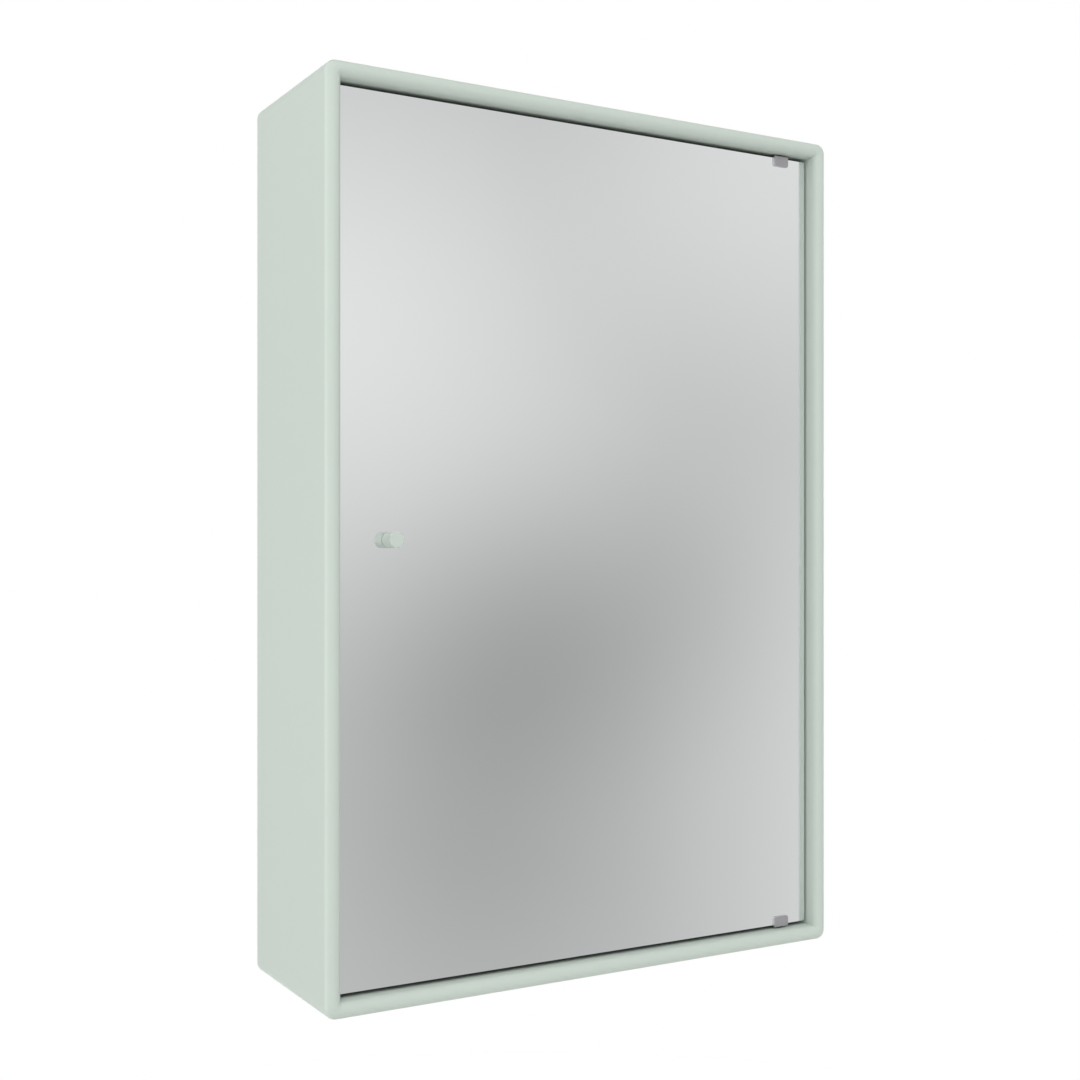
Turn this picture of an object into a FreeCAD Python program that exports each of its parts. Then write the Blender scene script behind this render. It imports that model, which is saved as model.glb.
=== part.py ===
import FreeCAD, Part
import math
import os

# Wall-hung mirror cabinet with an inset mirror door on pivot clips. All sizes in millimetres.
# The wall is the plane y = 0 and the front looks along -Y. +X is to the right, +Z is up.
# The origin lies on the wall, midway between the two wall screw holes.

# Carcase of four mitred boards with fully rounded front edges
cabinet_width = 467.0
cabinet_height = 696.0
cabinet_depth = 149.0
panel_thickness = 12.0
nosing_flat = 0.3
corner_extra = 2.6

# Back board in its groove
back_thickness = 4.0
groove_depth = 5.0
groove_clearance = 0.2

# Splines that lock the mitres
spline_thickness = 3.0
spline_width = 7.0
spline_end_margin = 8.0
spline_clearance = 0.1
mitre_angle = 45.0

# Wall rail and the hangers that drop behind its lip
screw_line_below_top = 75.0
rail_thickness = 2.0
rail_offset = 6.5
rail_below_screws = 12.0
rail_above_screws = 10.0
rail_lip_height = 12.0
rail_end_gap = 10.0
rail_bend_radius = 1.6
rail_to_back_gap = 4.0
wall_hole_radius = 2.75
wall_hole_end_inset = 39.5
hanger_thickness = 2.0
hanger_reach = 34.0
hanger_hook_height = 16.0
hanger_top_gap = 3.0
hanger_edge_gap = 0.5
hook_clearance = 0.3
hanger_screw_shares = (0.3, 0.75)

# Door glass and the air round it
door_setback = 13.5
door_side_gap = 1.7
glass_thickness = 4.0
glass_arris = 0.2
glass_seat_gap = 0.05
silver_thickness = 0.15
film_thickness = 0.4
film_edge_inset = 0.6

# Pivot hinges
pivot_inset = 28.8
pivot_behind_front = 5.0
pivot_pin_radius = 2.5
pivot_running_clearance = 0.05
pivot_end_float = 0.3
pin_end_gap = 0.5
bush_radius = 3.6
bush_flange_radius = 5.0
bush_flange = 1.0
bush_floor = 0.8
bush_cover = 3.5
clip_width = 15.0
clip_front = 1.4
clip_back = 3.0
clip_web = 1.1
clip_front_overlap = 7.2
clip_back_overlap = 15.0
clip_corner_radius = 1.6
clip_edge_radius = 0.4
liner_thickness = 0.4
clamp_thickness = 1.2
clamp_edge_inset = 1.0
grub_radius = 2.0
grub_spacing = 7.0
grub_proud = 0.5
grub_socket_radius = 1.15
grub_socket_depth = 1.6
grub_socket_sides = 6

# Knob and what holds it to the glass
knob_radius = 6.1
knob_length = 13.8
knob_edge_radius = 0.7
knob_from_left = 54.5
knob_bore_depth = 9.0
knob_hole_radius = 3.2
knob_screw_radius = 2.0
knob_screw_reach = 7.5
knob_screw_head_radius = 4.0
knob_screw_head = 2.4
washer_radius = 5.6
washer_thickness = 0.5

# Magnetic catch on the left side and its strike on the door
catch_width = 15.0
catch_depth = 16.0
catch_height = 32.0
catch_ear = 9.0
catch_ear_thickness = 2.0
magnet_width = 6.0
magnet_height = 24.0
magnet_depth = 9.0
pole_thickness = 1.2
pole_proud = 0.4
catch_gap = 0.2
strike_height = 30.0
strike_thickness = 1.2
strike_tape = 0.4
strike_edge_gap = 1.5
strike_corner_radius = 2.0

# Glass shelves on padded pins
shelf_count = 2
shelf_thickness = 5.0
shelf_side_gap = 1.0
shelf_back_gap = 1.0
shelf_swing_clearance = 3.0
pin_radius = 2.5
pin_cover = 4.0
pin_edge_inset = 16.0
spoon_length = 9.0
spoon_width = 8.0
spoon_thickness = 2.5
pad_thickness = 1.0
pad_edge_inset = 0.8

# Small screws for the hangers and the catch, and common allowances
screw_radius = 1.6
screw_head_radius = 3.1
screw_head = 2.0
screw_cover = 2.5
screw_tip_gap = 0.5
head_round_share = 0.45
slot_width_share = 0.28
slot_depth_share = 0.5
fit_clearance = 0.05
hole_clearance = 0.2
cut_overrun = 1.0

# Places worked out from the sizes above
V = FreeCAD.Vector
SIDES = (-1, 1)
nosing_radius = (panel_thickness - nosing_flat) / 2
corner_radius = nosing_radius + corner_extra
half_width = cabinet_width / 2
inner_half = half_width - panel_thickness
top_z = screw_line_below_top
bottom_z = top_z - cabinet_height
inner_top = top_z - panel_thickness
inner_bottom = bottom_z + panel_thickness
mid_z = (top_z + bottom_z) / 2
front_y = -cabinet_depth
back_recess = rail_offset + rail_thickness + rail_to_back_gap
back_rear = -back_recess
back_front = back_rear - back_thickness

liner_reach = glass_seat_gap + liner_thickness
door_end_gap = bush_flange + pivot_end_float + clip_web + liner_reach
glass_front = front_y + door_setback
glass_back = glass_front + glass_thickness
silver_front = glass_back + glass_seat_gap
silver_back = silver_front + silver_thickness
film_back = silver_back + film_thickness
glass_half = inner_half - door_side_gap
glass_top = inner_top - door_end_gap
glass_bottom = inner_bottom + door_end_gap
pivot_x = inner_half - pivot_inset
pivot_y = glass_front + pivot_behind_front
knob_x = knob_from_left - half_width
knob_base = glass_front - glass_seat_gap - washer_thickness
bush_length = panel_thickness - bush_cover
pin_engagement = bush_length - bush_floor - pin_end_gap

strike_back = film_back + strike_tape + strike_thickness
catch_front = strike_back + catch_gap
catch_x = catch_width / 2 - inner_half + strike_edge_gap
strike_half = catch_width / 2 - strike_edge_gap

swing_depth = max(pivot_y - glass_front, film_back - pivot_y)
swing_radius = math.hypot(glass_half - pivot_x, swing_depth)
shelf_front = pivot_y + swing_radius + shelf_swing_clearance
shelf_back = back_front - shelf_back_gap
shelf_pin_rows = (shelf_front + pin_edge_inset, shelf_back - pin_edge_inset)
pin_insertion = panel_thickness - pin_cover
screw_bite = panel_thickness - screw_cover

hook_front = hook_clearance - rail_offset
hook_back = hook_front + hanger_thickness
hanger_top = inner_top - hanger_top_gap
rail_half = inner_half - hanger_thickness - rail_end_gap
wall_hole_x = rail_half - wall_hole_end_inset


def block(xs, ys, zs):
    """Box between two values on each axis, given in either order."""
    low = V(min(xs), min(ys), min(zs))
    return Part.makeBox(max(xs) - low.x, max(ys) - low.y, max(zs) - low.z, low)


def about(centre, half):
    """The two values at equal distance from a centre."""
    return (centre - half, centre + half)


def rod(radius, start, step):
    """Round bar from a start point along a step vector."""
    return Part.makeCylinder(radius, step.Length, start, step)


def bore(radius, start, step):
    """Cutter for a round hole that enters at start and runs along step."""
    lead = V(step).normalize() * cut_overrun
    return rod(radius, start - lead, step + lead)


def prism(points, sweep):
    """Solid swept from a closed outline of points."""
    outline = Part.makePolygon(points + points[:1])
    return Part.Face(outline).extrude(sweep)


def edges_on(shape, axis, value):
    """Edges of a shape that lie wholly in the plane where one coordinate has a value."""
    tolerance = fit_clearance
    return [
        edge
        for edge in shape.Edges
        if abs(getattr(edge.BoundBox, axis + "Min") - value) < tolerance
        and abs(getattr(edge.BoundBox, axis + "Max") - value) < tolerance
    ]


def edges_along(shape, axis):
    """Straight edges of a shape that run along one axis."""
    others = [name for name in "XYZ" if name != axis]
    return [
        edge
        for edge in shape.Edges
        if all(getattr(edge.BoundBox, name + "Length") < fit_clearance for name in others)
    ]


def pan_screw(seat, direction, radius, length, head_radius, head_height):
    """Slotted pan head screw with its head on the seat and its shank along direction."""
    head = rod(head_radius, V(0, 0, 0), V(0, 0, head_height))
    head = head.makeFillet(head_height * head_round_share, edges_on(head, "Z", head_height))
    slot_half = head_height * slot_width_share
    slot_floor = head_height * (1 - slot_depth_share)
    reach = head_radius + cut_overrun
    slot = block((-reach, reach), (-slot_half, slot_half), (slot_floor, head_height + cut_overrun))
    body = head.cut(slot).fuse(rod(radius, V(0, 0, 0), V(0, 0, -length))).removeSplitter()
    body.Placement = FreeCAD.Placement(seat, FreeCAD.Rotation(V(0, 0, -1), direction))
    return body


def envelope():
    """Whole outside of the carcase, with its long corners and then its front edge rounded."""
    body = block((-half_width, half_width), (front_y, 0), (bottom_z, top_z))
    body = body.makeFillet(corner_radius, edges_along(body, "Y"))
    return body.makeFillet(nosing_radius, edges_on(body, "Y", front_y))


def spline(side, end, clearance):
    """Tongue across one mitre, or with a clearance the slot that takes it."""
    corner = V(side * (inner_half + panel_thickness / 2), 0, mid_z)
    corner.z = mid_z + end * (cabinet_height - panel_thickness) / 2
    start = back_front - spline_end_margin + clearance
    stop = front_y + nosing_radius + spline_end_margin - clearance
    width = spline_width / 2 + clearance
    thickness = spline_thickness / 2 + clearance
    body = block((-width, width), (start, stop), (-thickness, thickness))
    turn = FreeCAD.Rotation(V(0, 1, 0), mitre_angle * side * end)
    body.Placement = FreeCAD.Placement(corner, turn)
    return body


def groove_cut():
    """Room for the back board in the four panels."""
    reach_x = inner_half + groove_depth
    span_y = (back_front - groove_clearance, back_rear + groove_clearance)
    reach_z = (inner_bottom - groove_depth, inner_top + groove_depth)
    return block((-reach_x, reach_x), span_y, reach_z)


def mitred_panel(outer_a, outer_b, inner_b, inner_a):
    """One board of the carcase between two mitres, with its inner front edge rounded as well."""
    corners = [V(x, front_y, z) for x, z in (outer_a, outer_b, inner_b, inner_a)]
    board = prism(corners, V(0, cabinet_depth, 0)).common(envelope())
    board = board.makeFillet(nosing_radius, [inner_front_edge(board)])
    slots = [spline(side, end, spline_clearance) for side in SIDES for end in SIDES]
    return board.cut([groove_cut()] + slots)


def inner_front_edge(board):
    """The lengthwise front edge of a board that lies nearest to the middle of the cabinet."""
    middle = V(0, front_y, mid_z)
    lengthwise = edges_along(board, "X") + edges_along(board, "Z")
    front = [edge for edge in lengthwise if abs(edge.CenterOfMass.y - front_y) < fit_clearance]
    return min(front, key=lambda edge: edge.CenterOfMass.distanceToPoint(middle))


def shelf_levels():
    """Height of each shelf's underside."""
    clear_height = inner_top - inner_bottom
    steps = [clear_height * (row + 1) / (shelf_count + 1) for row in range(shelf_count)]
    return [inner_bottom + step - shelf_thickness / 2 for step in steps]


def pin_seats(side):
    """Points on one side panel's inner face where the shelf pins go in."""
    drop = glass_seat_gap + pad_thickness + spoon_thickness
    return [V(side * inner_half, y, z - drop) for z in shelf_levels() for y in shelf_pin_rows]


def hanger_screw_seats(side):
    """Points on one side panel's inner face where the hanger screws go in."""
    low = rail_above_screws + hanger_hook_height
    free_leg = hanger_top - low
    y = (back_rear + hanger_edge_gap + hook_back) / 2
    return [V(side * inner_half, y, low + free_leg * share) for share in hanger_screw_shares]


def catch_screw_seats():
    """Points on the left panel's inner face where the catch screws go in."""
    reach = (catch_height + catch_ear) / 2
    y = catch_front + pole_proud + catch_depth / 2
    return [V(-inner_half, y, mid_z + end * reach) for end in SIDES]


def side_panel(side):
    """Side board with holes for the shelf pins, the hanger and, on the left, the catch."""
    outer = side * half_width
    inner = side * inner_half
    board = mitred_panel((outer, bottom_z), (outer, top_z), (inner, inner_top), (inner, inner_bottom))
    outward = V(side, 0, 0)
    holes = [bore(pin_radius + fit_clearance, seat, outward * pin_insertion) for seat in pin_seats(side)]
    seats = hanger_screw_seats(side)
    if side < 0:
        seats = seats + catch_screw_seats()
    holes += [bore(screw_radius + fit_clearance, seat, outward * screw_bite) for seat in seats]
    return board.cut(holes)


def end_panel(end):
    """Top or bottom board with the bore for its pivot bush."""
    outer = top_z if end > 0 else bottom_z
    inner = inner_top if end > 0 else inner_bottom
    corners = (-half_width, outer), (half_width, outer), (inner_half, inner), (-inner_half, inner)
    board = mitred_panel(*corners)
    seat = V(pivot_x, pivot_y, inner)
    return board.cut(bore(bush_radius + fit_clearance, seat, V(0, 0, end * bush_length)))


def back_board():
    """Thin board that closes the back, held in the groove all round."""
    reach = groove_depth - groove_clearance
    xs = about(0, inner_half + reach)
    return block(xs, (back_front, back_rear), (inner_bottom - reach, inner_top + reach))


def corner_splines():
    """The four mitre tongues."""
    return Part.makeCompound([spline(side, end, 0) for side in SIDES for end in SIDES])


def edges_near(shape, y, z):
    """Edges along X that pass through a point given by its depth and height."""
    middle = V(0, y, z)
    lengthwise = edges_along(shape, "X")
    return [edge for edge in lengthwise if edge.CenterOfMass.distanceToPoint(middle) < fit_clearance]


def wall_rail():
    """Bent steel strip on the wall whose lip stands off to take the hangers."""
    lip_front = -rail_offset - rail_thickness
    web_low = rail_above_screws - rail_thickness
    lip_top = rail_above_screws + rail_lip_height
    section = [
        (0, -rail_below_screws),
        (0, rail_above_screws),
        (-rail_offset, rail_above_screws),
        (-rail_offset, lip_top),
        (lip_front, lip_top),
        (lip_front, web_low),
        (-rail_thickness, web_low),
        (-rail_thickness, -rail_below_screws),
    ]
    strip = prism([V(-rail_half, y, z) for y, z in section], V(rail_half + rail_half, 0, 0))
    bends = edges_near(strip, 0, rail_above_screws) + edges_near(strip, lip_front, web_low)
    strip = strip.makeFillet(rail_bend_radius, bends)
    reach = V(0, -rail_thickness - cut_overrun, 0)
    return strip.cut([bore(wall_hole_radius, V(side * wall_hole_x, 0, 0), reach) for side in SIDES])


def hanger(side):
    """Steel angle: one leg on the side panel, the other dropped behind the rail's lip."""
    wall = side * inner_half
    leg_face = wall - side * hanger_thickness
    leg_front = back_rear + hanger_edge_gap
    leg = block((wall, leg_face), (leg_front, hook_back), (rail_above_screws, hanger_top))
    hook_top = rail_above_screws + hanger_hook_height
    hook_xs = (wall, wall - side * hanger_reach)
    hook = block(hook_xs, (hook_front, hook_back), (rail_above_screws, hook_top))
    inward = V(-side * (hanger_thickness + cut_overrun), 0, 0)
    holes = [bore(screw_radius + hole_clearance, seat, inward) for seat in hanger_screw_seats(side)]
    return leg.fuse(hook).removeSplitter().cut(holes)


def hanger_screws():
    """Screws that fix both hangers to the side panels."""
    screws = []
    for side in SIDES:
        outward = V(side, 0, 0)
        length = hanger_thickness + screw_bite - screw_tip_gap
        for seat in hanger_screw_seats(side):
            head_seat = seat - outward * hanger_thickness
            screws.append(pan_screw(head_seat, outward, screw_radius, length, screw_head_radius, screw_head))
    return Part.makeCompound(screws)


def glass_sheet(xs, ys, zs):
    """Flat glass with a fine arris on every edge."""
    sheet = block(xs, ys, zs)
    return sheet.makeChamfer(glass_arris, sheet.Edges)


def mirror_glass():
    """The door: one sheet of mirror glass drilled for the knob screw."""
    sheet = glass_sheet(about(0, glass_half), (glass_front, glass_back), (glass_bottom, glass_top))
    seat = V(knob_x, glass_front, mid_z)
    return sheet.cut(bore(knob_hole_radius, seat, V(0, glass_thickness + cut_overrun, 0)))


def backing_layer(front, back, inset):
    """Thin layer behind the glass, drilled for the knob screw as the glass is."""
    zs = (glass_bottom + inset, glass_top - inset)
    sheet = block(about(0, glass_half - inset), (front, back), zs)
    return sheet.cut(bore(knob_hole_radius, V(knob_x, front, mid_z), V(0, back - front + cut_overrun, 0)))


def knob():
    """Turned cylinder with a softened front edge and a blind screw hole in its base."""
    base = V(knob_x, knob_base, mid_z)
    body = rod(knob_radius, base, V(0, -knob_length, 0))
    body = body.makeFillet(knob_edge_radius, edges_on(body, "Y", base.y - knob_length))
    return body.cut(bore(knob_screw_radius + fit_clearance, base, V(0, -knob_bore_depth, 0)))


def knob_washers():
    """Thin washers that keep the knob and the screw head off the glass."""
    washers = []
    for face in (knob_base, film_back):
        centre = V(knob_x, face, mid_z)
        ring = rod(washer_radius, centre, V(0, washer_thickness, 0))
        hole = bore(knob_screw_radius + hole_clearance, centre, V(0, washer_thickness + cut_overrun, 0))
        washers.append(ring.cut(hole))
    return Part.makeCompound(washers)


def knob_screw():
    """Screw from behind the glass into the knob."""
    seat = V(knob_x, film_back + washer_thickness, mid_z)
    length = seat.y - knob_base + knob_screw_reach
    return pan_screw(seat, V(0, -1, 0), knob_screw_radius, length, knob_screw_head_radius, knob_screw_head)


def glass_edge(end):
    """Height of the glass edge that one hinge clip sits on."""
    return glass_top if end > 0 else glass_bottom


def clip_back_face():
    """Where the inside of the clip's back jaw stands behind the film."""
    return film_back + liner_thickness + clamp_thickness


def grub_seats(end):
    """Points on the clamp plate where the grub screws press."""
    z = glass_edge(end) - end * clip_back_overlap / 2
    return [V(pivot_x + side * grub_spacing / 2, clip_back_face(), z) for side in SIDES]


def hinge_clip(end):
    """Metal clip over the glass edge: rounded front jaw, web and thicker back jaw."""
    edge = glass_edge(end)
    web_zs = (edge + end * liner_reach, edge + end * (liner_reach + clip_web))
    xs = about(pivot_x, clip_width / 2)
    jaw_back = glass_front - liner_reach
    jaw_front = jaw_back - clip_front
    jaw_end = edge - end * clip_front_overlap
    jaw = block(xs, (jaw_front, jaw_back), (jaw_end, web_zs[1]))
    corners = [e for e in edges_along(jaw, "Y") if abs(e.BoundBox.ZMin - jaw_end) < fit_clearance]
    jaw = jaw.makeFillet(clip_corner_radius, corners)
    jaw = jaw.makeFillet(clip_edge_radius, edges_on(jaw, "Y", jaw_front))
    back_ys = (clip_back_face(), clip_back_face() + clip_back)
    web = block(xs, (jaw_back, back_ys[1]), web_zs)
    back_jaw = block(xs, back_ys, (edge - end * clip_back_overlap, web_zs[1]))
    body = jaw.fuse([web, back_jaw]).removeSplitter()
    pin_hole = bore(pivot_pin_radius, V(pivot_x, pivot_y, web_zs[0]), V(0, 0, end * (clip_web + cut_overrun)))
    through = V(0, clip_back + cut_overrun, 0)
    grub_holes = [bore(grub_radius + fit_clearance, seat, through) for seat in grub_seats(end)]
    return body.cut([pin_hole] + grub_holes)


def clip_liner(end):
    """Soft U strip between the clip and the glass."""
    edge = glass_edge(end)
    xs = about(pivot_x, clip_width / 2)
    top = edge + end * liner_reach
    outer_front = glass_front - liner_reach
    inner_front = glass_front - glass_seat_gap
    outer_back = film_back + liner_thickness
    front = block(xs, (outer_front, inner_front), (edge - end * clip_front_overlap, top))
    cap = block(xs, (inner_front, film_back), (edge + end * glass_seat_gap, top))
    back = block(xs, (film_back, outer_back), (edge - end * clip_back_overlap, top))
    return front.fuse([cap, back]).removeSplitter()


def clamp_plate(end):
    """Plate that spreads the grub screws' pressure over the liner."""
    edge = glass_edge(end)
    xs = about(pivot_x, clip_width / 2 - clamp_edge_inset)
    ys = (film_back + liner_thickness, clip_back_face())
    return block(xs, ys, (edge - end * clamp_edge_inset, edge - end * (clip_back_overlap - clamp_edge_inset)))


def grub_screw(seat):
    """Headless screw with a hexagon socket in its outer end."""
    length = clip_back + grub_proud
    body = rod(grub_radius, seat, V(0, length, 0))
    face = seat.y + length - grub_socket_depth
    turns = [math.tau * corner / grub_socket_sides for corner in range(grub_socket_sides)]
    outline = [V(math.cos(a), 0, math.sin(a)) * grub_socket_radius + V(seat.x, face, seat.z) for a in turns]
    return body.cut(prism(outline, V(0, grub_socket_depth + cut_overrun, 0)))


def hinge_grub_screws():
    """The two clamping screws of each clip."""
    return Part.makeCompound([grub_screw(seat) for end in SIDES for seat in grub_seats(end)])


def pivot_pin(end):
    """Pin fixed in the clip's web that turns in the bush."""
    start = glass_edge(end) + end * liner_reach
    stop = (inner_top if end > 0 else inner_bottom) + end * pin_engagement
    return rod(pivot_pin_radius, V(pivot_x, pivot_y, start), V(0, 0, stop - start))


def pivot_bush(end):
    """Flanged plastic bush in the top or bottom board."""
    face = inner_top if end > 0 else inner_bottom
    centre = V(pivot_x, pivot_y, face)
    sleeve = rod(bush_radius, centre, V(0, 0, end * bush_length))
    flange = rod(bush_flange_radius, centre, V(0, 0, -end * bush_flange))
    mouth = centre - V(0, 0, end * bush_flange)
    depth = bush_flange + bush_length - bush_floor
    hole = bore(pivot_pin_radius + pivot_running_clearance, mouth, V(0, 0, end * depth))
    return sleeve.fuse(flange).cut(hole)


def catch_body():
    """Moulded block on the left panel with two screw ears and a pocket for the magnet."""
    wall = -inner_half
    ys = (catch_front + pole_proud, catch_front + pole_proud + catch_depth)
    housing = block((wall, wall + catch_width), ys, about(mid_z, catch_height / 2))
    ears = block((wall, wall + catch_ear_thickness), ys, about(mid_z, catch_height / 2 + catch_ear))
    pocket_xs = about(catch_x, magnet_width / 2 + pole_thickness)
    pocket_ys = (ys[0] - cut_overrun, ys[0] + magnet_depth)
    pocket = block(pocket_xs, pocket_ys, about(mid_z, magnet_height / 2))
    inward = V(catch_ear_thickness + cut_overrun, 0, 0)
    holes = [bore(screw_radius + hole_clearance, seat, inward) for seat in catch_screw_seats()]
    return housing.fuse(ears).removeSplitter().cut([pocket] + holes)


def catch_magnet():
    """Block magnet between the pole plates."""
    ys = (catch_front + pole_proud, catch_front + pole_proud + magnet_depth)
    return block(about(catch_x, magnet_width / 2), ys, about(mid_z, magnet_height / 2))


def catch_pole_plates():
    """Two steel plates that lead the magnet's pull to the strike."""
    plates = []
    for side in SIDES:
        inner_face = catch_x + side * magnet_width / 2
        xs = (inner_face, inner_face + side * pole_thickness)
        ys = (catch_front, catch_front + pole_proud + magnet_depth)
        plates.append(block(xs, ys, about(mid_z, magnet_height / 2)))
    return Part.makeCompound(plates)


def catch_screws():
    """Screws that fix the catch to the left panel."""
    outward = V(-1, 0, 0)
    length = catch_ear_thickness + screw_bite - screw_tip_gap
    seats = [seat - outward * catch_ear_thickness for seat in catch_screw_seats()]
    return Part.makeCompound(
        [pan_screw(seat, outward, screw_radius, length, screw_head_radius, screw_head) for seat in seats]
    )


def strike_layer(start, thickness):
    """Rounded rectangle behind the film, in line with the catch."""
    layer = block(about(catch_x, strike_half), (start, start + thickness), about(mid_z, strike_height / 2))
    return layer.makeFillet(strike_corner_radius, edges_along(layer, "Y"))


def glass_shelf(level):
    """Clear shelf between the sides, kept back from the swing of the door's hinge edge."""
    xs = about(0, inner_half - shelf_side_gap)
    return glass_sheet(xs, (shelf_front, shelf_back), (level, level + shelf_thickness))


def shelf_pin(seat, side):
    """Pin in the side panel with a flat spoon that carries the shelf."""
    shank = rod(pin_radius, seat, V(side * pin_insertion, 0, 0))
    stub = rod(pin_radius, seat, V(-side * spoon_length, 0, 0))
    spoon_xs = (seat.x, seat.x - side * spoon_length)
    spoon = block(spoon_xs, about(seat.y, spoon_width / 2), (seat.z, seat.z + spoon_thickness))
    return shank.fuse([stub, spoon]).removeSplitter()


def shelf_pad(seat, side):
    """Soft pad between a spoon and the glass."""
    xs = (seat.x - side * pad_edge_inset, seat.x - side * (spoon_length - pad_edge_inset))
    low = seat.z + spoon_thickness
    return block(xs, about(seat.y, spoon_width / 2 - pad_edge_inset), (low, low + pad_thickness))


def on_all_pins(make):
    """One small piece for every shelf pin."""
    return Part.makeCompound([make(seat, side) for side in SIDES for seat in pin_seats(side)])


def nodes():
    """Every named piece of the cabinet with its solid or group of solids."""
    pieces = {
        "left_side_panel": side_panel(-1),
        "right_side_panel": side_panel(1),
        "top_panel": end_panel(1),
        "bottom_panel": end_panel(-1),
        "back_board": back_board(),
        "corner_splines": corner_splines(),
        "wall_rail": wall_rail(),
        "left_hanger": hanger(-1),
        "right_hanger": hanger(1),
        "hanger_screws": hanger_screws(),
        "shelf_pins": on_all_pins(shelf_pin),
        "shelf_pads": on_all_pins(shelf_pad),
        "top_pivot_bush": pivot_bush(1),
        "bottom_pivot_bush": pivot_bush(-1),
        "catch_body": catch_body(),
        "catch_magnet": catch_magnet(),
        "catch_pole_plates": catch_pole_plates(),
        "catch_screws": catch_screws(),
        "mirror_glass": mirror_glass(),
        "silver_backing": backing_layer(silver_front, silver_back, glass_arris),
        "safety_film": backing_layer(silver_back, film_back, film_edge_inset),
        "knob": knob(),
        "knob_washers": knob_washers(),
        "knob_screw": knob_screw(),
        "top_hinge_clip": hinge_clip(1),
        "bottom_hinge_clip": hinge_clip(-1),
        "hinge_liners": Part.makeCompound([clip_liner(end) for end in SIDES]),
        "hinge_clamp_plates": Part.makeCompound([clamp_plate(end) for end in SIDES]),
        "hinge_grub_screws": hinge_grub_screws(),
        "top_pivot_pin": pivot_pin(1),
        "bottom_pivot_pin": pivot_pin(-1),
        "strike_tape": strike_layer(film_back, strike_tape),
        "strike_plate": strike_layer(film_back + strike_tape, strike_thickness),
    }
    for number, level in enumerate(shelf_levels(), start=1):
        pieces["glass_shelf_%d" % number] = glass_shelf(level)
    return pieces


os.makedirs("parts", exist_ok=True)
for name, shape in nodes().items():
    shape.exportStep("parts/%s.step" % name)
    print(name, "solids", len(shape.Solids), "valid", shape.isValid(), "volume", round(shape.Volume, 1))
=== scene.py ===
# %% [markdown]
# # A wall cabinet with a mirror door
# This lesson dresses a mirror cabinet whose pieces, sizes and hinge already exist as a fixed frame.
# Blender adds what the frame lacks: paint, glass, silver, satin metal and the light to see them by.
# Nothing in the frame is moved or resized. Each step first says what the real thing is,
# then how it could be made, and then why this way was chosen.

# %% Load the frame
import math

import bpy
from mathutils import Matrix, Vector


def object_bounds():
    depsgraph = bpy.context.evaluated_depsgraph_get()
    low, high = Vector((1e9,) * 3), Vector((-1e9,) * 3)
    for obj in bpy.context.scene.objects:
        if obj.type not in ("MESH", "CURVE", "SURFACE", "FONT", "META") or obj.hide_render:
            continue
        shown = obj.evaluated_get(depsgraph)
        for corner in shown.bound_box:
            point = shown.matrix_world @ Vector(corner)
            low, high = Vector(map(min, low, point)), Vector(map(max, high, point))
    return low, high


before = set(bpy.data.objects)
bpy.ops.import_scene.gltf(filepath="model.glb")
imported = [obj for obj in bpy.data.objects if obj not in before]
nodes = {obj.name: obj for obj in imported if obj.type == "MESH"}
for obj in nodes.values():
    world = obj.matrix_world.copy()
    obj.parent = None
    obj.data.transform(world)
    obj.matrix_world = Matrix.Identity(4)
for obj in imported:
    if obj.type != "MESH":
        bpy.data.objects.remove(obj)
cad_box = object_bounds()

MM = 0.001
print("frame box in metres:", [[round(v, 4) for v in corner] for corner in cad_box])

# %% [markdown]
# ## A small bench of node tools
# A finish here is one Principled shader with a few procedural nodes in front of it. Painting image
# textures would also work, but a pattern made of nodes has no seams and stays sharp at any distance.
# Wiring each node by hand takes many lines, so these helpers start a finish, add a node and link it.
# Coordinates are the object's own, in metres, so a grain is written by its real size and it travels
# with the door when the door swings.

# %% Start a finish, add a node, wear a finish
def start_finish(name, **sockets):
    """A new material, with plain values on the sockets of its Principled shader."""
    finish = bpy.data.materials.new(name)
    finish.use_nodes = True
    shader = finish.node_tree.nodes["Principled BSDF"]
    for socket, value in sockets.items():
        shader.inputs[socket.replace("_", " ")].default_value = value
    return finish, shader


def add(finish, kind, links, **settings):
    """Adds one node, sets its properties, and links or fills its inputs."""
    node = finish.node_tree.nodes.new(kind)
    for name, value in settings.items():
        setattr(node, name, value)
    for key, source in links.items():
        if isinstance(source, bpy.types.NodeSocket):
            finish.node_tree.links.new(source, node.inputs[key])
        else:
            node.inputs[key].default_value = source
    return node


def feed(finish, shader, **sockets):
    """Links node outputs to sockets of the shader."""
    for socket, source in sockets.items():
        finish.node_tree.links.new(source, shader.inputs[socket.replace("_", " ")])


def wear(finish, *names):
    """Puts a finish on pieces of the frame, in place of the plain one that they came with."""
    for name in names:
        slots = nodes[name].data.materials
        slots.clear()
        slots.append(finish)
    print(finish.name, "on", ", ".join(names))


print("pieces to dress:", len(nodes))

# %% [markdown]
# Most finishes need the same four things: a place on the piece, a grain of some size there, a way to
# turn that grain into a tint or a sheen, and a way to raise it as a fine relief. A Mapping node squeezes
# the place along one axis, which turns round grains into brush lines or wood fibres. A Mix node has
# sockets for several kinds of data under the same names, so its colour sockets are picked by number.

# %% Grain, tint, sheen and relief
COLOUR_BELOW, COLOUR_ABOVE, COLOUR_RESULT = 6, 7, 2


def own_place(finish, squeeze=(1.0, 1.0, 1.0)):
    """The object's own coordinates in metres, squeezed along its axes."""
    place = add(finish, "ShaderNodeTexCoord", {}).outputs["Object"]
    return add(finish, "ShaderNodeMapping", {"Vector": place, "Scale": squeeze}).outputs["Vector"]


def grain(finish, place, size, detail=2.0):
    """Soft noise whose grains measure about this many metres."""
    noise = {"Vector": place, "Scale": 1.0 / size, "Detail": detail}
    return add(finish, "ShaderNodeTexNoise", noise).outputs["Fac"]


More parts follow.
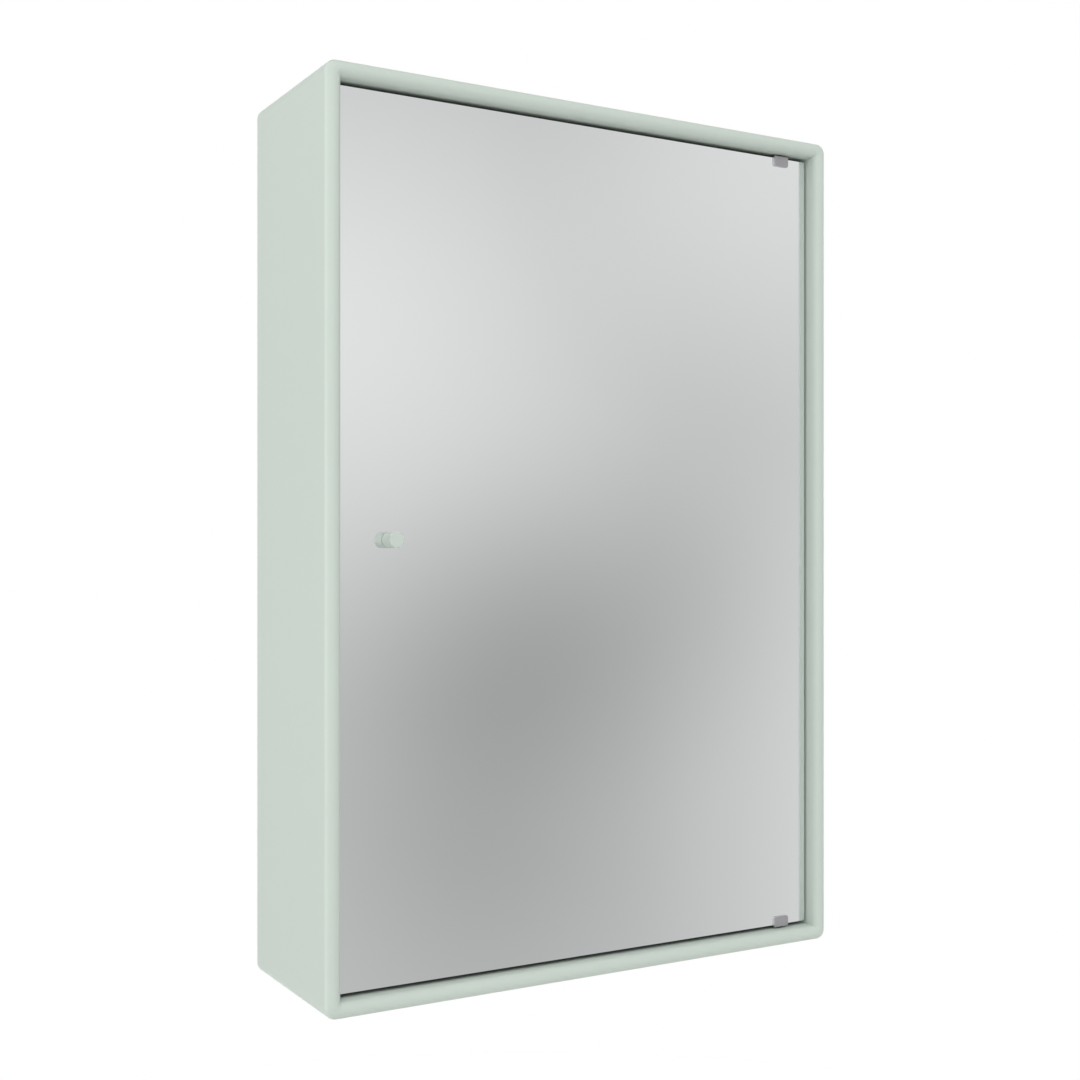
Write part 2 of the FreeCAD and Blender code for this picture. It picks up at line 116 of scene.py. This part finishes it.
def crystals(finish, place, size):
    """Flat cells of random grey, about this many metres across."""
    return add(finish, "ShaderNodeTexVoronoi", {"Vector": place, "Scale": 1.0 / size}).outputs["Color"]


def over(finish, factor, below, above):
    """One colour laid over another where a factor says so."""
    colours = {"Factor": factor, COLOUR_BELOW: below, COLOUR_ABOVE: above}
    return add(finish, "ShaderNodeMix", colours, data_type="RGBA").outputs[COLOUR_RESULT]


def tint(finish, factor, first, second):
    """A plain colour between two, by a factor."""
    return over(finish, factor, (*first, 1.0), (*second, 1.0))


def spread(finish, factor, low, high):
    """A value between two, by a factor."""
    span = {"Value": factor, "To Min": low, "To Max": high}
    return add(finish, "ShaderNodeMapRange", span).outputs["Result"]


def relief(finish, height, depth, strength):
    """Normals of a fine relief of this depth in metres."""
    bump = {"Height": height, "Distance": depth, "Strength": strength}
    return add(finish, "ShaderNodeBump", bump).outputs["Normal"]


print("colour sockets of a Mix node:", COLOUR_BELOW, "and", COLOUR_ABOVE, "in,", COLOUR_RESULT, "out")

# %% [markdown]
# ## Sprayed lacquer
# The boards and the knob are sprayed with a satin lacquer in a pale grey-green. Close up such a coat is
# never one flat colour: it has a fine orange peel, and clouds in its sheen with a little of them in its
# tint. A flat colour with a clear coat would look like plastic, so two noises do it: one of a few
# millimetres for the peel and one of a hand's width for the clouds.

# %% Lacquer on the boards and the knob
LACQUER = (0.615, 0.692, 0.630)
LACQUER_CLOUD = (0.598, 0.677, 0.615)
CLOUD = 140 * MM
PEEL = 2.4 * MM
PEEL_DEPTH = 0.2 * MM


def lacquer(name, peel, rough, strength):
    """Paint with orange peel, and soft clouds in tint and sheen."""
    finish, shader = start_finish(name)
    place = own_place(finish)
    clouds = grain(finish, place, CLOUD, detail=3.0)
    feed(finish, shader, Base_Color=tint(finish, clouds, LACQUER, LACQUER_CLOUD))
    feed(finish, shader, Roughness=spread(finish, clouds, *rough))
    feed(finish, shader, Normal=relief(finish, grain(finish, place, peel), PEEL_DEPTH, strength))
    return finish


board_lacquer = lacquer("board_lacquer", PEEL, rough=(0.41, 0.49), strength=0.05)
wear(board_lacquer, "left_side_panel", "right_side_panel", "top_panel", "bottom_panel")
wear(lacquer("knob_lacquer", PEEL / 2, rough=(0.35, 0.42), strength=0.04), "knob")

# %% [markdown]
# ## Back board and hidden tongues
# The back is a thin board with a rolled, matt coat of the same paint, so it takes the lacquer's recipe
# with a finer, stronger peel and hardly any gloss. The tongues in the mitres are bare beech: fibres run
# along them from front to back, so their noise is squeezed along Y until its grains become long fibres.

# %% Matt back and beech tongues
wear(lacquer("rolled_back_paint", PEEL / 3, rough=(0.58, 0.68), strength=0.16), "back_board")

BEECH = (0.50, 0.335, 0.195)
BEECH_FIBRE = (0.36, 0.22, 0.115)
BEECH_ROUGH = (0.60, 0.75)
FIBRE = 0.7 * MM
ALONG_Y = (1.0, 0.03, 1.0)
beech, shader = start_finish("beech_tongue")
fibres = grain(beech, own_place(beech, ALONG_Y), FIBRE, detail=4.0)
feed(beech, shader, Base_Color=tint(beech, fibres, BEECH, BEECH_FIBRE))
feed(beech, shader, Roughness=spread(beech, fibres, *BEECH_ROUGH))
feed(beech, shader, Normal=relief(beech, fibres, depth=0.1 * MM, strength=0.3))
wear(beech, "corner_splines")

# %% [markdown]
# ## Glass with ground edges
# The shelves are float glass. Their faces are polished and clear, but their edges are ground: the grinding
# breaks the light, so an edge looks green and solid instead of clear. One could cut the edges off as
# separate pieces. It is simpler to ask each point which way its surface faces: where that is the sheet's
# own axis the point is on a polished face, and everywhere else it is on an edge or in a drilled hole.

# %% Glass for the shelves
CLEAR = (0.985, 0.993, 0.988)
SHELF_EDGE = (0.30, 0.47, 0.40)
SHELF_EDGE_DARK = (0.22, 0.38, 0.31)
POLISHED_FACING = 0.9
GROUND_GRAIN = 0.3 * MM
GROUND_ROUGH = 0.5


def polished_face(finish, axis):
    """1 on the faces of a sheet that lie across one axis, 0 on its edges and in its holes."""
    facing = add(finish, "ShaderNodeTexCoord", {}).outputs["Normal"]
    across = add(finish, "ShaderNodeSeparateXYZ", {"Vector": facing}).outputs[axis]
    size = add(finish, "ShaderNodeMath", {0: across}, operation="ABSOLUTE").outputs[0]
    limit = {0: size, 1: POLISHED_FACING}
    return add(finish, "ShaderNodeMath", limit, operation="GREATER_THAN").outputs[0]


def ground_edge(finish, light, dark):
    """The frosted tint of a ground edge."""
    return tint(finish, grain(finish, own_place(finish), GROUND_GRAIN), light, dark)


shelf_glass, shader = start_finish("shelf_glass", IOR=1.5)
face = polished_face(shelf_glass, "Z")
edge = ground_edge(shelf_glass, SHELF_EDGE, SHELF_EDGE_DARK)
feed(shelf_glass, shader, Base_Color=over(shelf_glass, face, edge, (*CLEAR, 1.0)))
feed(shelf_glass, shader, Transmission_Weight=face)
feed(shelf_glass, shader, Roughness=spread(shelf_glass, face, GROUND_ROUGH, 0.0))
wear(shelf_glass, "glass_shelf_1", "glass_shelf_2")

# %% [markdown]
# ## A silvered door
# A mirror is glass with a coat of silver on its back, and the silver is a thin piece of its own here, a
# plain polished metal. One could make the glass clear and let light pass through it to the silver and out
# again. The eye hardly sees those few millimetres of depth, and light that must slip in under a clip or
# the knob leaves them a dark rim. So the faces of the door glass carry the silver themselves, and only its
# ground edges show as glass. Their near-black tint is partly a dark seal against damp and partly painted
# shade for the narrow gaps round the door.

# %% Silvering and door glass
SILVER = (0.930, 0.946, 0.947)
SILVER_HAZE = (0.920, 0.936, 0.937)
HAZE = 200 * MM
# Near-black ground edges of the door: partly a dark seal coat, partly painted shade for the gaps round the
# door
DOOR_EDGE_SEAL_AND_SHADE = (0.050, 0.065, 0.058)
DOOR_EDGE_SEAL_AND_SHADE_DARK = (0.030, 0.042, 0.036)


def silver_tint(finish):
    """The silver's colour with a wide, faint haze."""
    return tint(finish, grain(finish, own_place(finish), HAZE), SILVER, SILVER_HAZE)


silver, shader = start_finish("silvering", Metallic=1.0, Roughness=0.0)
feed(silver, shader, Base_Color=silver_tint(silver))
wear(silver, "silver_backing")

door_glass, shader = start_finish("door_glass")
face = polished_face(door_glass, "Y")
# The door's ground edges take the near-black tint: partly a seal coat, partly painted shade of the gaps
edge = ground_edge(door_glass, DOOR_EDGE_SEAL_AND_SHADE, DOOR_EDGE_SEAL_AND_SHADE_DARK)
feed(door_glass, shader, Base_Color=over(door_glass, face, edge, silver_tint(door_glass)))
feed(door_glass, shader, Metallic=face, Roughness=spread(door_glass, face, GROUND_ROUGH, 0.0))
wear(door_glass, "mirror_glass")

# %% [markdown]
# ## The film behind the silver
# A safety film is stuck on the back, a matt grey plastic over a net of threads, which holds the pieces if
# the glass breaks. The net could be modelled thread by thread, but it is far too fine to show as a shape.
# So two sets of fine bands at right angles give it, both as darker lines and as a relief. The Wave texture
# has a fixed factor of its own in front of its sine, which the scale of the bands has to allow for.

# %% Safety film
FILM = (0.47, 0.49, 0.50)
FILM_THREAD = (0.40, 0.42, 0.43)
FILM_ROUGH = (0.50, 0.62)
FILM_CLOUD = 30 * MM
THREAD = 1.8 * MM
WAVE_FACTOR = 20.0


def threads(finish, place, axis):
    """Fine bands across one axis, a thread apart."""
    bands = {"Vector": place, "Scale": 2.0 * math.pi / (WAVE_FACTOR * THREAD)}
    return add(finish, "ShaderNodeTexWave", bands, bands_direction=axis).outputs["Fac"]


def either(finish, first, second):
    """The larger of two factors, so it is 1 where either is."""
    return add(finish, "ShaderNodeMath", {0: first, 1: second}, operation="MAXIMUM").outputs[0]


film, shader = start_finish("safety_film_net")
place = own_place(film)
net = either(film, threads(film, place, "X"), threads(film, place, "Z"))
feed(film, shader, Base_Color=tint(film, net, FILM, FILM_THREAD))
feed(film, shader, Roughness=spread(film, grain(film, place, FILM_CLOUD), *FILM_ROUGH))
feed(film, shader, Normal=relief(film, net, depth=0.12 * MM, strength=0.5))
wear(film, "safety_film")

# %% [markdown]
# ## Hinge clips and other metal
# The clips on the glass are cast zinc with a satin nickel coat, brushed across: the brush lines are noise
# drawn out along X. Sheet steel parts are zinc plated, which leaves a pattern of faint crystals of a few
# millimetres. Screws are zinc plated too, but so small that only a fine mottle shows. The shelf pins are
# bright nickel, and the pivot pins are ground, with fine rings round them. One shader could serve all of
# this metal, but it is such marks that tell one plating from another.

# %% Brushed clips
CLIP = (0.53, 0.515, 0.535)
CLIP_BRUSHED = (0.47, 0.455, 0.475)
CLIP_ROUGH = (0.30, 0.42)
BRUSH_LINE = 0.16 * MM
ALONG_X = (0.04, 1.0, 1.0)
MARK_DEPTH = 0.02 * MM
clip_satin, shader = start_finish("clip_satin", Metallic=1.0)
brushed = grain(clip_satin, own_place(clip_satin, ALONG_X), BRUSH_LINE, detail=3.0)
feed(clip_satin, shader, Base_Color=tint(clip_satin, brushed, CLIP, CLIP_BRUSHED))
feed(clip_satin, shader, Roughness=spread(clip_satin, brushed, *CLIP_ROUGH))
feed(clip_satin, shader, Normal=relief(clip_satin, brushed, MARK_DEPTH, strength=0.25))
wear(clip_satin, "top_hinge_clip", "bottom_hinge_clip")


# %% Plating recipe and its patterns
SPANGLE = 5 * MM
MOTTLE = 0.8 * MM
GRINDING = 0.12 * MM
ROUND_Z = (0.02, 0.02, 1.0)


def plated(name, pattern, light, dark, rough):
    """Plated metal whose colour and sheen follow a pattern."""
    finish, shader = start_finish(name, Metallic=1.0)
    factor = pattern(finish)
    feed(finish, shader, Base_Color=tint(finish, factor, light, dark))
    feed(finish, shader, Roughness=spread(finish, factor, *rough))
    feed(finish, shader, Normal=relief(finish, factor, MARK_DEPTH, strength=0.15))
    return finish


def spangle(finish):
    """Zinc crystals of a few millimetres."""
    return crystals(finish, own_place(finish), SPANGLE)


def mottle(finish):
    """The fine cloudy bloom of plated screws."""
    return grain(finish, own_place(finish), MOTTLE, detail=3.0)


def turned_rings(finish):
    """Fine grinding marks round an upright pin."""
    return grain(finish, own_place(finish, ROUND_Z), GRINDING)


print("marks in metres: crystals", SPANGLE, "mottle", MOTTLE, "rings", GRINDING)

# %% Zinc, nickel and ground steel
zinc_sheet = plated(
    "zinc_sheet", spangle, light=(0.66, 0.67, 0.69), dark=(0.56, 0.57, 0.60), rough=(0.26, 0.40)
)
wear(zinc_sheet, "wall_rail", "left_hanger", "right_hanger")
wear(zinc_sheet, "strike_plate", "catch_pole_plates", "hinge_clamp_plates")
zinc_screw = plated(
    "zinc_screw", mottle, light=(0.68, 0.68, 0.67), dark=(0.54, 0.54, 0.55), rough=(0.28, 0.44)
)
wear(zinc_screw, "hanger_screws", "catch_screws", "knob_screw", "hinge_grub_screws")
bright_nickel = plated(
    "bright_nickel", mottle, light=(0.76, 0.73, 0.68), dark=(0.70, 0.67, 0.62), rough=(0.10, 0.18)
)
wear(bright_nickel, "shelf_pins")
ground_steel = plated(
    "ground_steel", turned_rings, light=(0.66, 0.66, 0.66), dark=(0.54, 0.54, 0.55), rough=(0.18, 0.32)
)
wear(ground_steel, "top_pivot_pin", "bottom_pivot_pin")

# %% [markdown]
# ## Plastics and other small pieces
# The catch is moulded in white plastic and the pivot bushes in black, in moulds with a fine spark-eroded
# face. The strips in the clips and the pads under the shelves are soft and clear, and look milky when so
# thin. The washers are pressed fibre, the tape is a foam of tiny cells, and the magnet is a dark sintered
# block. Each could have a shader of its own, but they all follow one recipe, a grain with a tint, a sheen
# and a relief, so one function makes them.

# %% Moulded plastic and soft strips
MOULD_GRAIN = 0.35 * MM
SOFT_GRAIN = 0.9 * MM
SMOOTH_DEPTH = 0.03 * MM


def grained(name, size, light, dark, rough, depth, pattern=grain):
    """A dull material with one grain in its tint, its sheen and its surface."""
    finish, shader = start_finish(name)
    factor = pattern(finish, own_place(finish), size)
    feed(finish, shader, Base_Color=tint(finish, factor, light, dark))
    feed(finish, shader, Roughness=spread(finish, factor, *rough))
    feed(finish, shader, Normal=relief(finish, factor, depth, strength=0.3))
    return finish


moulded_white = grained(
    "moulded_white", MOULD_GRAIN, light=(0.76, 0.76, 0.73), dark=(0.72, 0.72, 0.69),
    rough=(0.38, 0.50), depth=SMOOTH_DEPTH,
)
wear(moulded_white, "catch_body")
moulded_black = grained(
    "moulded_black", MOULD_GRAIN, light=(0.020, 0.020, 0.021), dark=(0.013, 0.013, 0.014),
    rough=(0.40, 0.55), depth=SMOOTH_DEPTH,
)
wear(moulded_black, "top_pivot_bush", "bottom_pivot_bush")
milky_strip = grained(
    "milky_soft_strip", SOFT_GRAIN, light=(0.76, 0.78, 0.77), dark=(0.70, 0.72, 0.71),
    rough=(0.40, 0.52), depth=SMOOTH_DEPTH,
)
wear(milky_strip, "hinge_liners", "shelf_pads")

# %% Pressed fibre, foam and sintered magnet
FIBRE_GRAIN = 0.25 * MM
FOAM_CELL = 0.3 * MM
FOAM_DEPTH = 0.08 * MM
SINTER_CELL = 0.5 * MM
COARSE_DEPTH = 0.05 * MM
pressed_fibre = grained(
    "pressed_fibre", FIBRE_GRAIN, light=(0.62, 0.66, 0.63), dark=(0.52, 0.56, 0.53),
    rough=(0.70, 0.80), depth=COARSE_DEPTH,
)
wear(pressed_fibre, "knob_washers")
foam_tape = grained(
    "foam_tape", FOAM_CELL, light=(0.80, 0.80, 0.78), dark=(0.66, 0.66, 0.64),
    rough=(0.75, 0.85), depth=FOAM_DEPTH, pattern=crystals,
)
wear(foam_tape, "strike_tape")
sintered_magnet = grained(
    "sintered_magnet", SINTER_CELL, light=(0.055, 0.055, 0.058), dark=(0.030, 0.030, 0.032),
    rough=(0.50, 0.65), depth=COARSE_DEPTH, pattern=crystals,
)
wear(sintered_magnet, "catch_magnet")

# %% [markdown]
# ## A pale floor
# The cabinet hangs free here, so nothing stands behind it. A pale floor far below throws soft light up
# onto the undersides, as a real room does, and takes the cabinet's faint shadow. More lamps could make the
# floor white, but they would also wash out the cabinet. So to the camera, and in metal and glass, the
# floor glows a little, which lifts it to white and still lets the shadow show. It is a stage, not a part
# of the object.

# %% Floor
FLOOR_BELOW = 1.60
FLOOR_RADIUS = 2.6
FLOOR_SIDES = 96
FLOOR_PALE = (0.88, 0.88, 0.87)
FLOOR_SPECKLE = (0.85, 0.85, 0.84)
FLOOR_GLOW = 0.42
SPECKLE = 40 * MM


def ray_is(finish, kind):
    """1 for rays of one kind: Camera, Glossy (seen in a shine) or Transmission (seen through glass)."""
    return add(finish, "ShaderNodeLightPath", {}).outputs["Is " + kind + " Ray"]


def in_clear_view(finish):
    """1 for what the camera sees, directly or through glass."""
    return either(finish, ray_is(finish, "Camera"), ray_is(finish, "Transmission"))


bpy.ops.mesh.primitive_circle_add(
    vertices=FLOOR_SIDES, radius=FLOOR_RADIUS, fill_type="NGON", location=(0.0, 0.0, -FLOOR_BELOW)
)
floor = bpy.context.object
floor.name = "studio_floor"
floor_paint, shader = start_finish("floor_paint", Roughness=0.9, Emission_Color=(1.0, 1.0, 1.0, 1.0))
speckle = grain(floor_paint, own_place(floor_paint), SPECKLE)
feed(floor_paint, shader, Base_Color=tint(floor_paint, speckle, FLOOR_PALE, FLOOR_SPECKLE))
shown = either(floor_paint, in_clear_view(floor_paint), ray_is(floor_paint, "Glossy"))
feed(floor_paint, shader, Emission_Strength=spread(floor_paint, shown, 0.0, FLOOR_GLOW))
floor.data.materials.append(floor_paint)
print("floor", 2 * FLOOR_RADIUS, "m across,", FLOOR_BELOW, "m below the wall screws")

# %% [markdown]
# ## The studio round the cabinet
# A mirror has no colour of its own: it shows the room in front of it. One could build that room, but walls
# and windows out of focus are only soft patches of grey, so the world shader paints them. Each patch is
# placed by its bearing from the cabinet: degrees to the right of straight ahead, and degrees up. It fades
# out at its reach, also in degrees, and can be stretched upright.

# %% Bearings and soft patches
world = bpy.data.worlds.new("studio")
bpy.context.scene.world = world
world.use_nodes = True
direction = add(world, "ShaderNodeTexCoord", {}).outputs["Generated"]


def bearing(right, up):
    """Unit direction from the cabinet, by degrees to the right of straight ahead and degrees up."""
    a = math.radians(right)
    e = math.radians(up)
    return Vector((math.sin(a) * math.cos(e), -math.cos(a) * math.cos(e), math.sin(e)))


def soft_patch(right, up, reach, upright, core=0.0):
    """1 at a bearing and over a core round it, fading to 0 at a reach, both in degrees."""
    away = add(world, "ShaderNodeVectorMath", {0: direction, 1: bearing(right, up)}, operation="SUBTRACT")
    squeeze = (1.0, 1.0, 1.0 / upright)
    oval = add(world, "ShaderNodeVectorMath", {0: away.outputs[0], 1: squeeze}, operation="MULTIPLY")
    far = add(world, "ShaderNodeVectorMath", {0: oval.outputs[0]}, operation="LENGTH").outputs["Value"]
    limits = {"From Min": math.radians(core), "From Max": math.radians(reach)}
    fade = {"Value": far, **limits, "To Min": 1.0, "To Max": 0.0}
    return add(world, "ShaderNodeMapRange", fade, interpolation_type="SMOOTHSTEP").outputs["Result"]


def with_patches(level, patches):
    """A grey level with soft patches laid over it."""
    for right, up, reach, upright, amount in patches:
        terms = {0: soft_patch(right, up, reach, upright), 1: amount, 2: level}
        level = add(world, "ShaderNodeMath", terms, operation="MULTIPLY_ADD").outputs[0]
    return level


def blend(factor, first, second):
    """A level between two, by a factor."""
    return add(world, "ShaderNodeMix", {"Factor": factor, "A": first, "B": second}).outputs["Result"]


print("straight ahead of the door:", [round(v, 3) for v in bearing(0.0, 0.0)])

# %% [markdown]
# One set of patches makes the view in the mirror. The other set is the light of the studio: bright fields
# at the back left and right, which draw a fine glint along the outer edges, more of them at the front,
# above and below, and a darker field on the left, which gives the side its tone. Lamps alone could do
# this too, but their edges would show in the mirror and in the lacquer. To the camera, and through glass,
# the world is white all round. In a shine the white shows where the backdrop is, behind the cabinet.

# %% Pale room with a greyer view for the mirror
WHITE = 1.0
FRONT_GREY = 0.52
BACK_GREY = 0.28
MIRROR_GREY = 0.535
BEHIND_STARTS, BEHIND_FULL = -0.1, 0.2
MIRROR_VIEW = {"right": 31.0, "up": 0.0, "reach": 27.0, "upright": 1.5, "core": 15.0}
BACKDROP = {"right": 140.0, "up": 0.0, "reach": 45.0, "upright": 2.0, "core": 30.0}
# Each patch: degrees right, degrees up, reach, upright stretch, and how much lighter it is
MIRROR_PATCHES = (
    (20.5, 8.5, 21.0, 0.77, 0.272),
    (39.5, 15.5, 10.5, 1.2, 0.21),
    (28.0, -9.5, 9.0, 1.45, -0.123),
    (31.0, -2.5, 11.0, 0.78, -0.10),
    (47.5, -11.0, 14.5, 2.5, 0.295),
)
STUDIO_PATCHES = (
    (-118.0, 0.0, 32.0, 2.0, 3.0),
    (118.0, 0.0, 32.0, 2.0, 1.2),
    (-60.0, 0.0, 30.0, 1.5, -0.4),
    (-28.0, 0.0, 28.0, 1.5, 2.0),
    (-10.0, 55.0, 35.0, 1.0, 1.8),
    (-10.0, -50.0, 35.0, 1.0, 2.0),
)
depth = add(world, "ShaderNodeSeparateXYZ", {"Vector": direction}).outputs["Y"]
turn = {"Value": depth, "From Min": BEHIND_STARTS, "From Max": BEHIND_FULL}
behind = add(world, "ShaderNodeMapRange", turn).outputs["Result"]
front = blend(soft_patch(**MIRROR_VIEW), FRONT_GREY, with_patches(MIRROR_GREY, MIRROR_PATCHES))
backdrop = {0: soft_patch(**BACKDROP), 1: ray_is(world, "Glossy")}
shine = add(world, "ShaderNodeMath", backdrop, operation="MULTIPLY").outputs[0]
back = blend(shine, BACK_GREY, WHITE)
room = with_patches(blend(behind, front, back), STUDIO_PATCHES)
shade = blend(in_clear_view(world), room, WHITE)
world.node_tree.links.new(shade, world.node_tree.nodes["Background"].inputs["Color"])
print("studio of", len(MIRROR_PATCHES) + len(STUDIO_PATCHES), "soft patches")

# %% [markdown]
# ## Soft lamps
# Two large softboxes help the room, as in a product studio: the main one at the front left and one
# overhead. Small lamps would give hard shadows and sharp glints on the rounded edges, so each box is larger
# than the cabinet is tall. The boxes themselves are kept out of the mirror, where they would show as white
# squares.

# %% Lamps
KEY_PLACE = (-1.7, -1.8, 0.7)
KEY_WATTS = 8.0
TOP_PLACE = (0.0, -1.6, 2.0)
TOP_WATTS = 3.0
BOX_SIZE = 1.6
middle = (Vector(cad_box[0]) + Vector(cad_box[1])) / 2


def softbox(name, place, watts):
    """A square lamp that looks at the middle of the cabinet."""
    lamp = bpy.data.lights.new(name, "AREA")
    lamp.size = BOX_SIZE
    lamp.energy = watts
    box = bpy.data.objects.new(name, lamp)
    box.location = place
    box.visible_glossy = False
    box.rotation_euler = (middle - box.location).to_track_quat("-Z", "Y").to_euler()
    bpy.context.scene.collection.objects.link(box)
    print(name, watts, "W,", BOX_SIZE, "m,", round((middle - box.location).length, 2), "m away")


softbox("key_softbox", KEY_PLACE, KEY_WATTS)
softbox("top_softbox", TOP_PLACE, TOP_WATTS)

# %% [markdown]
# ## The camera
# The camera stands to the left of the cabinet, at about the height of its middle, and looks level, so
# upright edges stay upright. Its place and lens come from the cabinet's outline: where its edges lead to
# and how large it appears fix both. Tilting the camera would frame the cabinet too, but its uprights would
# then lean together, so a small upward shift of the lens does it.

# %% Camera
CAMERA_PLACE = (-0.6390, -1.1545, -0.2812)
LEVEL = 90.0
TURNED = -30.078
LENS_MM = 49.74
SENSOR_MM = 36.0
SHIFT_UP = 0.01006
camera_data = bpy.data.cameras.new("camera")
camera_data.lens = LENS_MM
camera_data.sensor_width = SENSOR_MM
camera_data.shift_y = SHIFT_UP
camera = bpy.data.objects.new("camera", camera_data)
camera.location = CAMERA_PLACE
camera.rotation_euler = (math.radians(LEVEL), 0.0, math.radians(TURNED))
bpy.context.scene.collection.objects.link(camera)
bpy.context.scene.camera = camera
bpy.context.scene.view_settings.view_transform = "Standard"
print("camera", round((middle - camera.location).length, 3), "m from the middle of the cabinet")
